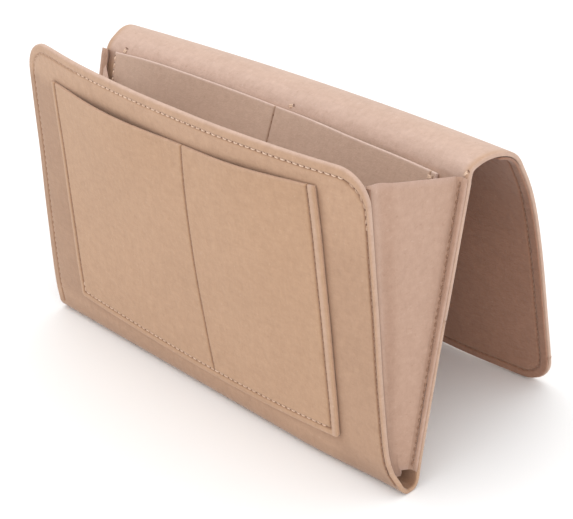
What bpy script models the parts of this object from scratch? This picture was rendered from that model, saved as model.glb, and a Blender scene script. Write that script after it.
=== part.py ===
"""Felt bedside storage bag, standing open with its tuck flap folded back.

Metres, +Z up, +X along the width, the front panel on the -Y side.
"""
import math

import bmesh
import bpy
from mathutils import Vector

# lengths in metres
FRONT_FOOT_LEFT = 0.1645
FRONT_FOOT_RIGHT = 0.1625
FOLD_NARROW_LEFT = 0.0030
FOLD_WIDE_RIGHT = 0.0070
FOLD_BLEND_LENGTH = 0.0100
MOUTH_LEFT = 0.1490
MOUTH_RIGHT = 0.1535
BACK_FOOT_LEFT = 0.1630
BACK_FOOT_RIGHT = 0.1705
BACK_TOP_LEFT = 0.1650
BACK_TOP_RIGHT = 0.1630
RIDGE_HALF = 0.1690
RUN_WIDEN_SHARE = 0.27
RIDGE_WIDEN_SHARE = 0.60
FELT = 0.0030
SIDE_FELT = 0.0022
POCKET_FELT = 0.0022
LINING_FELT = 0.0018
GAP = 0.0003

FOLD_RADIUS = 0.0100
FOOT_CUT = 0.0005
FOLD_LEG = 0.0040
FRONT_LENGTH = 0.2050
FRONT_SLANT = 0.0040
FRONT_SAG = 0.0025
FRONT_CORNER_LEFT = 0.0260
FRONT_CORNER_RIGHT = 0.0200
FRONT_BOW = 0.0104
BACK_LENGTH = 0.1860
BACK_BOW = 0.0140

FIRST_BEND_RADIUS = 0.0030
RIDGE_RUN = 0.0070
RIDGE_RADIUS = 0.0230
FLAP_LEG = 0.0030
FLAP_STIFF_LENGTH = 0.0100
FLAP_CURL_LENGTH = 0.0500
FLAP_STEP = 0.0010
FLAP_CORNER = 0.0200
LINING_TOP = 0.0080
LINING_END = 0.0012

WEB_INSET = 0.0060
WEB_INSET_BACK = 0.0054
WEB_INSET_BACK_FOOT = 0.0036
WEB_FILLET = 0.0016
SIDE_BOTTOM_FRONT = 0.0045
SIDE_BOTTOM_BACK = 0.0050
SIDE_TOP_FRONT = 0.1905
SIDE_TOP_BACK = 0.1835
VALLEY_DEPTH = 0.0160
VALLEY_DIP = 0.0180

POCKET_LEFT = 0.1260
POCKET_RIGHT = 0.1262
POCKET_BOTTOM = 0.0110
POCKET_BOTTOM_RISE = 0.0060
POCKET_TOP = 0.1860
POCKET_SAG = 0.0050
POCKET_CORNER = 0.0030
POCKET_SPLIT = 0.0105
POCKET_SPLIT_BOW = 0.0060
POCKET_GAPE_LEFT = 0.0036
POCKET_GAPE_RIGHT = 0.0022

INNER_LEFT = -0.1520
INNER_RIGHT = 0.1400
INNER_BOTTOM = 0.0220
INNER_TOP = 0.1825
INNER_SLANT = 0.0015
INNER_SPLIT = -0.0020
INNER_CORNER = 0.0020
INNER_GAPE = 0.0036

THREAD_RADIUS = 0.0004
EDGE_STITCH = 0.0062
EDGE_STITCH_RIGHT = 0.0030
POCKET_STITCH = 0.0050
POCKET_STITCH_RIGHT = 0.0068
POCKET_SEAM_TOP = 0.0030
SIDE_STITCH = 0.0020
FLAP_STITCH = 0.0060
SEAM_START = 0.0100
SEAM_STEP = 0.0120

EDGE_SOFTENING = 0.0004

# angles in degrees from the vertical, and counts
FRONT_LEAN = 0.4
BACK_LEAN = 17.4
RIDGE_LEAN = 72.0
FLAP_TOP_LEAN = 150.0
FLAP_LEAN = 174.5
CORNER_STEPS = 7
THREAD_SIDES = 6
BOW_POWER = 1.5
FLAP_ROW_POWER = 1.3
FLAP_BOW_SHARE = 0.45
FLANGE_SHARES = (0.0, 0.37, 0.74)
POCKET_TOP_LEFT_SHARE = 0.93
POCKET_TOP_RIGHT_SHARE = 0.955
POCKET_TAPER_POWER = 1.5

CENTRE_Z = FOLD_RADIUS - FOOT_CUT


def clear_file():
    for ob in list(bpy.data.objects):
        bpy.data.objects.remove(ob, do_unlink=True)
    for me in list(bpy.data.meshes):
        bpy.data.meshes.remove(me)
    for ma in list(bpy.data.materials):
        bpy.data.materials.remove(ma)


def bow(u):
    """Share of the bow at u, which is -1 and 1 at the side edges."""
    return 1.0 - u ** 2


def mix(a, b, t):
    return a + (b - a) * t


def front_half(u, s):
    """Half width of the front panel at height s, on the side that u is on."""
    t = max(s, 0.0) / FRONT_LENGTH
    near = math.exp(-max(s, 0.0) / FOLD_BLEND_LENGTH)
    if u > 0:
        return mix(FRONT_FOOT_RIGHT, MOUTH_RIGHT, t) + FOLD_WIDE_RIGHT * near
    return mix(FRONT_FOOT_LEFT, MOUTH_LEFT, t) - FOLD_NARROW_LEFT * near


def back_half(u, s):
    t = max(s, 0.0) / BACK_LENGTH
    return mix(BACK_FOOT_RIGHT, BACK_TOP_RIGHT, t) if u > 0 else mix(BACK_FOOT_LEFT, BACK_TOP_LEFT, t)


def front_u(x, s):
    """Share of the half width at x on the front panel."""
    return x / front_half(x, s)


def back_u(x, s):
    return x / back_half(x, s)


def smooth(t):
    t = min(max(t, 0.0), 1.0)
    return t * t * (3.0 - 2.0 * t)


def front_at(u, s, off=0.0):
    """A point s up the front panel, off out from its outer face, at share u of its half width."""
    a = math.radians(FRONT_LEAN)
    d = (-math.sin(a), math.cos(a))
    n = (-math.cos(a), -math.sin(a))
    lift = FRONT_BOW * max(s / FRONT_LENGTH, 0.0) ** BOW_POWER * bow(u)
    r = FOLD_RADIUS + off + lift
    return Vector((u * front_half(u, s), r * n[0] + s * d[0], CENTRE_Z + r * n[1] + s * d[1]))


def back_at(u, s, off=0.0):
    """A point s up the back panel, off out from its outer face, at share u of its half width."""
    a = math.radians(BACK_LEAN)
    d = (math.sin(a), math.cos(a))
    n = (math.cos(a), -math.sin(a))
    lift = BACK_BOW * max(s / BACK_LENGTH, 0.0) ** BOW_POWER * bow(u)
    r = FOLD_RADIUS + off + lift
    return Vector((u * back_half(u, s), r * n[0] + s * d[0], CENTRE_Z + r * n[1] + s * d[1]))


def bend_path():
    """Corner points of the underside path over the ridge, with its bend centres."""
    a0, a1, a2 = (math.radians(v) for v in (BACK_LEAN, RIDGE_LEAN, FLAP_TOP_LEAN))
    start = back_at(1.0, BACK_LENGTH)
    p0 = (start.y, start.z)
    c1 = (p0[0] + FIRST_BEND_RADIUS * math.cos(a0), p0[1] - FIRST_BEND_RADIUS * math.sin(a0))
    p1 = (c1[0] - FIRST_BEND_RADIUS * math.cos(a1), c1[1] + FIRST_BEND_RADIUS * math.sin(a1))
    p2 = (p1[0] + RIDGE_RUN * math.sin(a1), p1[1] + RIDGE_RUN * math.cos(a1))
    c2 = (p2[0] + RIDGE_RADIUS * math.cos(a1), p2[1] - RIDGE_RADIUS * math.sin(a1))
    p3 = (c2[0] - RIDGE_RADIUS * math.cos(a2), c2[1] + RIDGE_RADIUS * math.sin(a2))
    return p0, c1, p1, p2, c2, p3


P0, C1, P1, P2, C2, P3 = bend_path()


def flap_path():
    """Underside points of the hanging flap, which curls from its top lean to its end lean."""
    y, z, t = P3[0], P3[1], 0.0
    out = []
    while True:
        curl = math.exp(-max(t - FLAP_STIFF_LENGTH, 0.0) / FLAP_CURL_LENGTH)
        a = math.radians(FLAP_LEAN - (FLAP_LEAN - FLAP_TOP_LEAN) * curl)
        out.append((y, z, a))
        if z <= 0.0:
            return out
        y, z, t = y + FLAP_STEP * math.sin(a), z + FLAP_STEP * math.cos(a), t + FLAP_STEP


FLAP_PATH = flap_path()
FLAP_LENGTH = (len(FLAP_PATH) - 1) * FLAP_STEP - FLAP_STEP


def flap_point(t):
    """Place and lean on the flap's underside at t down from the ridge."""
    k = min(max(t / FLAP_STEP, 0.0), len(FLAP_PATH) - 1.001)
    i = int(k)
    one, two = FLAP_PATH[i], FLAP_PATH[i + 1]
    return tuple(mix(a, b, k - i) for a, b in zip(one, two))


def over_at(kind, t, u, off=0.0):
    """A point on the sheet past the back panel.

    kind is first, run or ridge with t from 0 to 1, or flap with t as a length.
    """
    a0, a1, a2 = (math.radians(v) for v in (BACK_LEAN, RIDGE_LEAN, FLAP_TOP_LEAN))
    share, half = 1.0, RIDGE_HALF
    if kind == "first":
        half = back_half(u, BACK_LENGTH)
        a = a0 + (a1 - a0) * t
        r = FIRST_BEND_RADIUS - off
        y, z = C1[0] - r * math.cos(a), C1[1] + r * math.sin(a)
    elif kind == "run":
        half = mix(back_half(u, BACK_LENGTH), RIDGE_HALF, smooth(RUN_WIDEN_SHARE * t))
        a = a1
        y = P1[0] + (P2[0] - P1[0]) * t + off * math.cos(a)
        z = P1[1] + (P2[1] - P1[1]) * t - off * math.sin(a)
    elif kind == "ridge":
        widen = RUN_WIDEN_SHARE + (1.0 - RUN_WIDEN_SHARE) * t / RIDGE_WIDEN_SHARE
        half = mix(back_half(u, BACK_LENGTH), RIDGE_HALF, smooth(widen))
        a = a1 + (a2 - a1) * t
        r = RIDGE_RADIUS - off
        y, z = C2[0] - r * math.cos(a), C2[1] + r * math.sin(a)
    else:
        y, z, a = flap_point(t)
        y, z = y + off * math.cos(a), z - off * math.sin(a)
        share = 1.0 - smooth(t / (FLAP_BOW_SHARE * FLAP_LENGTH))
    lift = BACK_BOW * bow(u) * share
    return Vector((u * half, y + lift * math.cos(a0), z - lift * math.sin(a0)))


def columns(left, right, corner, far_corner, count):
    """Across positions with the drop of a rounded corner at each."""
    out = []
    for i in range(CORNER_STEPS + 1):
        a = 0.5 * math.pi * i / CORNER_STEPS
        out.append((left + corner - corner * math.cos(a), corner - corner * math.sin(a)))
    inner_left, inner_right = left + corner, right - far_corner
    for i in range(1, count):
        out.append((inner_left + (inner_right - inner_left) * i / count, 0.0))
    for i in range(CORNER_STEPS, -1, -1):
        a = 0.5 * math.pi * i / CORNER_STEPS
        out.append((right - far_corner + far_corner * math.cos(a), far_corner - far_corner * math.sin(a)))
    return out


def collection(name):
    col = bpy.data.collections.get(name)
    if col is None:
        col = bpy.data.collections.new(name)
        bpy.context.scene.collection.children.link(col)
    return col


def material(name, colour, rough):
    ma = bpy.data.materials.new(name)
    ma.use_nodes = True
    node = next(n for n in ma.node_tree.nodes if n.type == "BSDF_PRINCIPLED")
    node.inputs["Base Color"].default_value = (*colour, 1.0)
    node.inputs["Roughness"].default_value = rough
    ma.diffuse_color = (*colour, 1.0)
    return ma


FELT_COLOUR = (0.560, 0.375, 0.255)
SIDE_COLOUR = (0.545, 0.365, 0.260)
INNER_COLOUR = (0.490, 0.305, 0.215)
THREAD_COLOUR = (0.700, 0.520, 0.400)


def finish(name, me, colour, rough=0.95):
    me.materials.append(material(name + "_felt", colour, rough))
    ob = bpy.data.objects.new(name, me)
    collection("felt_bedside_bag").objects.link(ob)
    return ob


def felt(name, grid, thick, toward, colour, soften=EDGE_SOFTENING):
    """A felt piece from rows of points on one face, thickened away from toward."""
    bm = bmesh.new()
    rows = [[bm.verts.new(p) for p in row] for row in grid]
    for lower, upper in zip(rows, rows[1:]):
        for j in range(len(lower) - 1):
            bm.faces.new((lower[j], lower[j + 1], upper[j + 1], upper[j]))
    bm.normal_update()
    middle = bm.faces[:][len(bm.faces) // 2]
    if middle.normal.dot(Vector(toward)) < 0:
        bmesh.ops.reverse_faces(bm, faces=bm.faces[:])
    me = bpy.data.meshes.new(name)
    bm.to_mesh(me)
    bm.free()
    ob = finish(name, me, colour)
    solid = ob.modifiers.new("thickness", "SOLIDIFY")
    solid.thickness = thick
    solid.offset = -1.0
    solid.use_even_offset = True
    if soften:
        bev = ob.modifiers.new("cut_edge", "BEVEL")
        bev.width = soften
        bev.segments = 1
        bev.limit_method = "ANGLE"
        bev.angle_limit = math.radians(50)
    return ob


def thread(name, path):
    """A closed round thread along a list of points."""
    bm = bmesh.new()
    rings = []
    side = None
    for i, p in enumerate(path):
        before, after = path[max(i - 1, 0)], path[min(i + 1, len(path) - 1)]
        along = (after - before).normalized()
        if side is None:
            side = along.orthogonal().normalized()
        side = (side - along * side.dot(along)).normalized()
        up = along.cross(side)
        ring = []
        for k in range(THREAD_SIDES):
            a = 2 * math.pi * k / THREAD_SIDES
            ring.append(bm.verts.new(p + (side * math.cos(a) + up * math.sin(a)) * THREAD_RADIUS))
        rings.append(ring)
    for one, two in zip(rings, rings[1:]):
        for k in range(THREAD_SIDES):
            m = (k + 1) % THREAD_SIDES
            bm.faces.new((one[k], one[m], two[m], two[k]))
    bm.faces.new(tuple(reversed(rings[0])))
    bm.faces.new(tuple(rings[-1]))
    bmesh.ops.recalc_face_normals(bm, faces=bm.faces[:])
    me = bpy.data.meshes.new(name)
    bm.to_mesh(me)
    bm.free()
    return finish(name, me, THREAD_COLOUR, 0.8)


def spread(a, b, step):
    count = max(1, round(abs(b - a) / step))
    return [a + (b - a) * i / count for i in range(count + 1)]


def loop_path(left, right, low, high, corner, open_top):
    """Across and along pairs round three sides of a panel, corners rounded."""
    out = []
    if open_top:
        out += [(left, s) for s in spread(high, low + corner, SEAM_STEP)]
        turn, far = low + corner, 1
    else:
        out += [(left, s) for s in spread(low, high - corner, SEAM_STEP)]
        turn, far = high - corner, -1
    for i in range(1, CORNER_STEPS):
        a = 0.5 * math.pi * i / CORNER_STEPS
        out.append((left + corner - corner * math.cos(a), turn - far * corner * math.sin(a)))
    level = low if open_top else high
    out += [(x, level) for x in spread(left + corner, right - corner, SEAM_STEP)]
    for i in range(CORNER_STEPS - 1, 0, -1):
        a = 0.5 * math.pi * i / CORNER_STEPS
        out.append((right - corner + corner * math.cos(a), turn - far * corner * math.sin(a)))
    ends = (low + corner, high) if open_top else (high - corner, low)
    out += [(right, s) for s in spread(ends[0], ends[1], SEAM_STEP)]
    return out


def front_top(u):
    """Height of the front panel's slanting top edge."""
    return FRONT_LENGTH - FRONT_SLANT * u - FRONT_SAG * bow(u)


def build_front_panel():
    low = FOLD_LEG + GAP
    grid = []
    rows = 9
    for i in range(rows + 1):
        row = []
        for x, drop in columns(-MOUTH_LEFT, MOUTH_RIGHT, FRONT_CORNER_LEFT, FRONT_CORNER_RIGHT, 12):
            u = front_u(x, FRONT_LENGTH)
            top = front_top(u) - drop
            row.append(front_at(u, low + (top - low) * i / rows))
        grid.append(row)
    return felt("front_panel", grid, FELT, (0, -1, 0), FELT_COLOUR)


def build_bottom_fold():
    """The round fold under the bag, its lowest line pressed flat into a foot."""
    a_front, a_back = math.radians(180 + FRONT_LEAN), math.radians(360 - BACK_LEAN)
    count = 18
    points = [front_at(1.0, FOLD_LEG)]
    inner = [front_at(1.0, FOLD_LEG, -FELT)]
    for i in range(count + 1):
        a = a_front + (a_back - a_front) * i / count
        y, z = FOLD_RADIUS * math.cos(a), CENTRE_Z + FOLD_RADIUS * math.sin(a)
        points.append(Vector((0.0, y, max(z, 0.0))))
        r = FOLD_RADIUS - FELT
        inner.append(Vector((0.0, r * math.cos(a), CENTRE_Z + r * math.sin(a))))
    points.append(back_at(1.0, FOLD_LEG))
    inner.append(back_at(1.0, FOLD_LEG, -FELT))
    bm = bmesh.new()
    loops = []
    for j in range(11):
        u = j / 5 - 1.0
        halves = [front_half(u, FOLD_LEG)]
        for i in range(count + 1):
            halves.append(mix(front_half(u, 0.0), back_half(u, 0.0), i / count))
        halves.append(back_half(u, FOLD_LEG))
        outer = [bm.verts.new((u * h, p.y, p.z)) for h, p in zip(halves, points)]
        inside = [bm.verts.new((u * h, p.y, p.z)) for h, p in zip(halves, inner)]
        loops.append((outer, inside))
    n = len(points)
    for (o1, i1), (o2, i2) in zip(loops, loops[1:]):
        for k in range(n - 1):
            bm.faces.new((o1[k], o1[k + 1], o2[k + 1], o2[k]))
            bm.faces.new((i1[k], i2[k], i2[k + 1], i1[k + 1]))
        bm.faces.new((o1[0], o2[0], i2[0], i1[0]))
        bm.faces.new((o1[-1], i1[-1], i2[-1], o2[-1]))
    for end in (0, -1):
        outer, inside = loops[end]
        for k in range(n - 1):
            bm.faces.new((outer[k], inside[k], inside[k + 1], outer[k + 1]))
    bmesh.ops.recalc_face_normals(bm, faces=bm.faces[:])
    me = bpy.data.meshes.new("bottom_fold")
    bm.to_mesh(me)
    bm.free()
    return finish("bottom_fold", me, FELT_COLOUR)


def build_back_panel():
    low, high = FOLD_LEG + GAP, BACK_LENGTH - GAP
    us = [i / 7 - 1.0 for i in range(15)]
    grid = [[back_at(u, s) for u in us] for s in spread(low, high, (high - low) / 9)]
    return felt("back_panel", grid, FELT, (0, 1, 0), FELT_COLOUR)


def build_top_bend():
    """The sheet from the back panel up over the ridge to the flap."""
    us = [i / 7 - 1.0 for i in range(15)]
    rows = [("first", i / 5) for i in range(6)]
    rows += [("run", t) for t in (0.34, 0.67)]
    rows += [("ridge", i / 9) for i in range(10)]
    rows.append(("flap", FLAP_LEG))
    grid = [[over_at(k, t, u, -FELT) for u in us] for k, t in rows]
    bottom = [[over_at(k, t, u) for u in us] for k, t in rows]
    bm = bmesh.new()
    tops = [[bm.verts.new(p) for p in row] for row in grid]
    lows = [[bm.verts.new(p) for p in row] for row in bottom]
    n = len(us)
    for i in range(len(rows) - 1):
        for j in range(n - 1):
            bm.faces.new((tops[i][j], tops[i][j + 1], tops[i + 1][j + 1], tops[i + 1][j]))
            bm.faces.new((lows[i][j], lows[i + 1][j], lows[i + 1][j + 1], lows[i][j + 1]))
        for j in (0, n - 1):
            bm.faces.new((tops[i][j], tops[i + 1][j], lows[i + 1][j], lows[i][j]))
    for i in (0, len(rows) - 1):
        for j in range(n - 1):
            bm.faces.new((tops[i][j], tops[i][j + 1], lows[i][j + 1], lows[i][j]))
    bmesh.ops.recalc_face_normals(bm, faces=bm.faces[:])
    me = bpy.data.meshes.new("top_bend")
    bm.to_mesh(me)
    bm.free()
    return finish("top_bend", me, FELT_COLOUR)


def flap_grid(first, high, off):
    """Rows down the flap, closest where it curls most; first is an extra row above the lining."""
    grid = []
    rows = 12
    cols = columns(-RIDGE_HALF, RIDGE_HALF, FLAP_CORNER, FLAP_CORNER, 12)
    if first is not None:
        grid.append([over_at("flap", first, x / RIDGE_HALF, off) for x, drop in cols])
    for i in range(rows + 1):
        share = (i / rows) ** FLAP_ROW_POWER
        grid.append([over_at("flap", mix(LINING_TOP, high - drop, share), x / RIDGE_HALF, off)
                     for x, drop in cols])
    return grid


def build_flap():
    grid = flap_grid(FLAP_LEG + GAP, FLAP_LENGTH, -FELT)
    flap = felt("tuck_flap", grid, FELT, (0, 1, 0), FELT_COLOUR)
    grid = flap_grid(None, FLAP_LENGTH - LINING_END, GAP + LINING_FELT)
    lining = felt("flap_lining", grid, LINING_FELT, (0, -1, 0), INNER_COLOUR)
    rim = loop_path(-RIDGE_HALF + FLAP_STITCH, RIDGE_HALF - FLAP_STITCH, LINING_TOP + POCKET_SEAM_TOP,
                    FLAP_LENGTH - LINING_END - FLAP_STITCH, FLAP_CORNER - FLAP_STITCH, False)
    off = GAP + LINING_FELT + GAP + THREAD_RADIUS
    seam = thread("flap_edge_seam", [over_at("flap", s, x / RIDGE_HALF, off) for x, s in rim])
    return flap, lining, seam


def pocket_share(s):
    return (s - POCKET_BOTTOM) / (POCKET_TOP - POCKET_BOTTOM)


def pocket_split(s):
    """Place of the seam down the front pocket, which bows a little."""
    return POCKET_SPLIT + POCKET_SPLIT_BOW * (2.0 * pocket_share(s) - 1.0) ** 2


def pocket_x(x, s):
    """The front pocket narrows towards its mouth."""
    top = POCKET_TOP_LEFT_SHARE if x < 0 else POCKET_TOP_RIGHT_SHARE
    return x * mix(1.0, top, max(pocket_share(s), 0.0) ** POCKET_TAPER_POWER)


def pocket_low(x):
    return POCKET_BOTTOM + POCKET_BOTTOM_RISE * (x / POCKET_LEFT) ** 2


def pocket_high(x):
    return POCKET_TOP - POCKET_SAG * math.cos(0.5 * math.pi * min(abs(x / POCKET_LEFT), 1.0))


def pocket_at(x, s, off):
    """A point on the front pocket; x runs between its edges, with the seam at zero."""
    split = pocket_split(s)
    if x < 0:
        place = split + (pocket_x(-POCKET_LEFT, s) - split) * -x
        most = POCKET_GAPE_LEFT
    else:
        place = split + (pocket_x(POCKET_RIGHT, s) - split) * x
        most = POCKET_GAPE_RIGHT
    gape = most * max(0.0, pocket_share(s)) ** 2.0 * math.sin(math.pi * min(abs(x), 1.0)) ** 2
    return front_at(front_u(place, s), s, GAP + gape + off)


def build_front_pocket():
    grid = []
    rows = 9
    corner = POCKET_CORNER / POCKET_LEFT
    shares = [-1.0] + [(-1.0 + corner) * (1.0 - i / 8) for i in range(9)]
    shares += [(1.0 - corner) * i / 8 for i in range(1, 9)] + [1.0]
    for i in range(rows + 1):
        row = []
        for x in shares:
            wide = POCKET_LEFT * x
            low = pocket_low(wide) + (POCKET_CORNER if abs(x) == 1.0 else 0.0)
            row.append(pocket_at(x, low + (pocket_high(wide) - low) * i / rows, POCKET_FELT))
        grid.append(row)
    pocket = felt("front_pocket", grid, POCKET_FELT, (0, -1, 0), FELT_COLOUR)
    inset, far_inset = POCKET_STITCH / POCKET_LEFT, POCKET_STITCH_RIGHT / POCKET_RIGHT
    low, high = POCKET_BOTTOM + POCKET_STITCH, POCKET_TOP - POCKET_SEAM_TOP
    rim = [(-1.0 + inset, v) for v in spread(high, low + POCKET_BOTTOM_RISE + POCKET_CORNER, SEAM_STEP)]
    rim += [(v, None) for v in spread(-1.0 + 1.5 * inset, 1.0 - 1.5 * far_inset, inset * 2.0)]
    rim += [(1.0 - far_inset, v) for v in spread(low + POCKET_BOTTOM_RISE + POCKET_CORNER, high, SEAM_STEP)]
    up = POCKET_FELT + GAP + THREAD_RADIUS
    points = []
    for x, v in rim:
        points.append(pocket_at(x, pocket_low(POCKET_LEFT * x) + POCKET_STITCH if v is None else v, up))
    edge = thread("pocket_edge_seam", points)
    line = spread(POCKET_BOTTOM + POCKET_STITCH + POCKET_SEAM_TOP,
                  POCKET_TOP - POCKET_SAG - POCKET_SEAM_TOP, SEAM_STEP)
    middle = thread("pocket_centre_seam", [pocket_at(0.0, v, up) for v in line])
    return pocket, edge, middle


def inner_top(x):
    return INNER_TOP - INNER_SLANT * x / INNER_RIGHT


def inner_at(x, s, off):
    """A point on the inner pocket's face, off out from it towards the front."""
    up = max(0.0, (s - INNER_BOTTOM) / (INNER_TOP - INNER_BOTTOM))
    if x < INNER_SPLIT:
        across = (x - INNER_LEFT) / (INNER_SPLIT - INNER_LEFT)
    else:
        across = (x - INNER_SPLIT) / (INNER_RIGHT - INNER_SPLIT)
    across = min(max(across, 0.0), 1.0)
    gape = INNER_GAPE * up ** 2.0 * math.sin(math.pi * across) ** 2
    return back_at(back_u(x, s), s, -FELT - GAP - gape - off)


def inner_columns():
    left, right = INNER_LEFT + INNER_CORNER, INNER_RIGHT - INNER_CORNER
    out = [(INNER_LEFT, INNER_CORNER), (left, 0.0)]
    for a, b in ((left, INNER_SPLIT), (INNER_SPLIT, right)):
        for i in range(1, 9):
            out.append((mix(a, b, i / 8), 0.0))
    out.append((INNER_RIGHT, INNER_CORNER))
    return out


def build_inner_pocket():
    grid = []
    rows = 9
    for i in range(rows + 1):
        row = []
        for x, drop in inner_columns():
            low = INNER_BOTTOM + drop
            row.append(inner_at(x, low + (inner_top(x) - low) * i / rows, POCKET_FELT))
        grid.append(row)
    pocket = felt("inner_pocket", grid, POCKET_FELT, (0, -1, 0), INNER_COLOUR)
    seams = []
    up = POCKET_FELT + GAP + THREAD_RADIUS
    places = (("inner_left_seam", INNER_LEFT + POCKET_STITCH), ("inner_centre_seam", INNER_SPLIT),
              ("inner_right_seam", INNER_RIGHT - POCKET_STITCH))
    for name, x in places:
        line = spread(INNER_BOTTOM + POCKET_STITCH, inner_top(x) - POCKET_SEAM_TOP, SEAM_STEP)
        seams.append(thread(name, [inner_at(x, v, up) for v in line]))
    return pocket, seams


def web_inset_back(t):
    return mix(WEB_INSET_BACK_FOOT, WEB_INSET_BACK, t)


def valley(hand, t, v):
    """How far the left gusset folds inwards and its top edge dips; the right one stays flat."""
    if hand > 0:
        return 0.0, 0.0
    across = math.sin(math.pi * v ** 2) ** 1.2
    return VALLEY_DEPTH * t ** 1.5 * across, VALLEY_DIP * t ** 4.0 * across


def side_section(hand, t):
    """Points across a gusset's outer side at share t of its height."""
    s_front = mix(SIDE_BOTTOM_FRONT, SIDE_TOP_FRONT, t)
    s_back = mix(SIDE_BOTTOM_BACK, SIDE_TOP_BACK, t)
    off = -FELT - GAP - SIDE_FELT
    f_half, b_half = front_half(hand, s_front), back_half(hand, s_back)
    back_inset = web_inset_back(t)
    out = []
    for inset in FLANGE_SHARES:
        out.append(front_at(hand * (1.0 - inset * WEB_INSET / f_half), s_front, off))
    near = front_at(hand * (1.0 - WEB_INSET / f_half), s_front, off)
    far = back_at(hand * (1.0 - back_inset / b_half), s_back, off)
    across = (far - near).normalized()
    one, two = near + across * WEB_FILLET, far - across * WEB_FILLET
    turn = WEB_FILLET * (1.0 - math.cos(math.radians(45)))
    out.append(Vector((near.x + hand * turn, *(near + across * turn).yz)))
    for i in range(9):
        inward, down = valley(hand, t, i / 8)
        p = one.lerp(two, i / 8)
        out.append(Vector((p.x - hand * inward, p.y, p.z - down)))
    out.append(Vector((far.x + hand * turn, *(far - across * turn).yz)))
    for inset in reversed(FLANGE_SHARES):
        out.append(back_at(hand * (1.0 - inset * back_inset / b_half), s_back, off))
    return out


def build_gusset(name, hand):
    rows = 9
    grid = [side_section(hand, i / rows) for i in range(rows + 1)]
    return felt(name, grid, SIDE_FELT, (hand, 0, 0), SIDE_COLOUR)


def edge_seam_path():
    """Across and along pairs for the seam round the front panel, inset more on the left."""
    left, right = MOUTH_LEFT - EDGE_STITCH, MOUTH_RIGHT - EDGE_STITCH_RIGHT
    out = [(-left, v) for v in spread(SEAM_START, FRONT_LENGTH - FRONT_CORNER_LEFT, SEAM_STEP)]
    corner = FRONT_CORNER_LEFT - EDGE_STITCH
    for i in range(1, CORNER_STEPS):
        a = 0.5 * math.pi * i / CORNER_STEPS
        out.append((-left + corner - corner * math.cos(a),
                    FRONT_LENGTH - FRONT_CORNER_LEFT + corner * math.sin(a)))
    corner = FRONT_CORNER_RIGHT - EDGE_STITCH_RIGHT
    high = FRONT_CORNER_RIGHT - EDGE_STITCH
    out += [(v, FRONT_LENGTH - EDGE_STITCH)
            for v in spread(-left + FRONT_CORNER_LEFT - EDGE_STITCH, right - corner, SEAM_STEP)]
    for i in range(CORNER_STEPS - 1, 0, -1):
        a = 0.5 * math.pi * i / CORNER_STEPS
        out.append((right - corner + corner * math.cos(a),
                    FRONT_LENGTH - FRONT_CORNER_RIGHT + high * math.sin(a)))
    return out + [(right, v) for v in spread(FRONT_LENGTH - FRONT_CORNER_RIGHT, SEAM_START, SEAM_STEP)]


def build_threads():
    up = GAP + THREAD_RADIUS
    points = []
    for x, v in edge_seam_path():
        u = front_u(x, FRONT_LENGTH)
        points.append(front_at(u, v * front_top(u) / FRONT_LENGTH, up))
    thread("front_edge_seam", points)
    off = -FELT - GAP - SIDE_FELT - up
    line = spread(SIDE_BOTTOM_BACK + POCKET_SEAM_TOP, SIDE_TOP_BACK - POCKET_SEAM_TOP, SEAM_STEP)
    for name, hand in (("back_left_seam", -1), ("back_right_seam", 1)):
        thread(name, [back_at(hand * (1.0 - SIDE_STITCH / back_half(hand, v)), v, off) for v in line])


clear_file()
build_front_panel()
build_bottom_fold()
build_back_panel()
build_top_bend()
build_flap()
build_front_pocket()
build_inner_pocket()
build_gusset("gusset_left", -1)
build_gusset("gusset_right", 1)
build_threads()
print("flap hinge y z", round(C2[0], 5), round(C2[1], 5), "flap length", round(FLAP_LENGTH, 5))
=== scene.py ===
"""Felt bedside bag: felt sheets, sewn pockets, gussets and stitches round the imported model."""

import math

import bpy
import numpy as np
from mathutils import Matrix, Vector


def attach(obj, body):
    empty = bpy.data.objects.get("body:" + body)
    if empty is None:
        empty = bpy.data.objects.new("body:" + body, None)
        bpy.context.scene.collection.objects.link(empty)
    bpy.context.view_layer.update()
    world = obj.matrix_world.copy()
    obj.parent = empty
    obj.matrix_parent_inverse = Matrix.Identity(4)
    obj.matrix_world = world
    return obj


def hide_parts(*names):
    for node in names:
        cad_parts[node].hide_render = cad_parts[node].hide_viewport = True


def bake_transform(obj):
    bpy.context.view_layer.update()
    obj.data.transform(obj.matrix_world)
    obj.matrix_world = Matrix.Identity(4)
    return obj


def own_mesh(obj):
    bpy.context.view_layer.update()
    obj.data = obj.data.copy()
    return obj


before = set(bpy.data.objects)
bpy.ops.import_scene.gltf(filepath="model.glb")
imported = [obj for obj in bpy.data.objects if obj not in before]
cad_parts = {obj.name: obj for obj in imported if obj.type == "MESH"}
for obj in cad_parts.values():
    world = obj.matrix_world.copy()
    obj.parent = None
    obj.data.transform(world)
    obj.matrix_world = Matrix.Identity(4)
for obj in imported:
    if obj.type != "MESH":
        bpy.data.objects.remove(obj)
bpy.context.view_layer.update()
RNG = np.random.default_rng(7)

# All sizes are in metres, and a pair is left and right of the middle.
# half widths of the long sheet, and the fold's shift to one side
FRONT_FOOT, MOUTH = (0.1645, 0.1625), (0.1490, 0.1535)
BACK_FOOT, BACK_TOP = (0.1630, 0.1705), (0.1650, 0.1630)
FOLD_SHIFT, FOLD_BLEND = (-0.0030, 0.0070), 0.010
RIDGE_HALF, RUN_WIDEN, RIDGE_WIDEN, LEFT_DRAW = 0.169, 0.27, 0.60, 0.0024
# thickness of each felt, and the gap between layers
FELT, SIDE_FELT, POCKET_FELT, LINING_FELT, GAP = 0.0030, 0.0022, 0.0022, 0.0018, 0.0003
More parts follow.
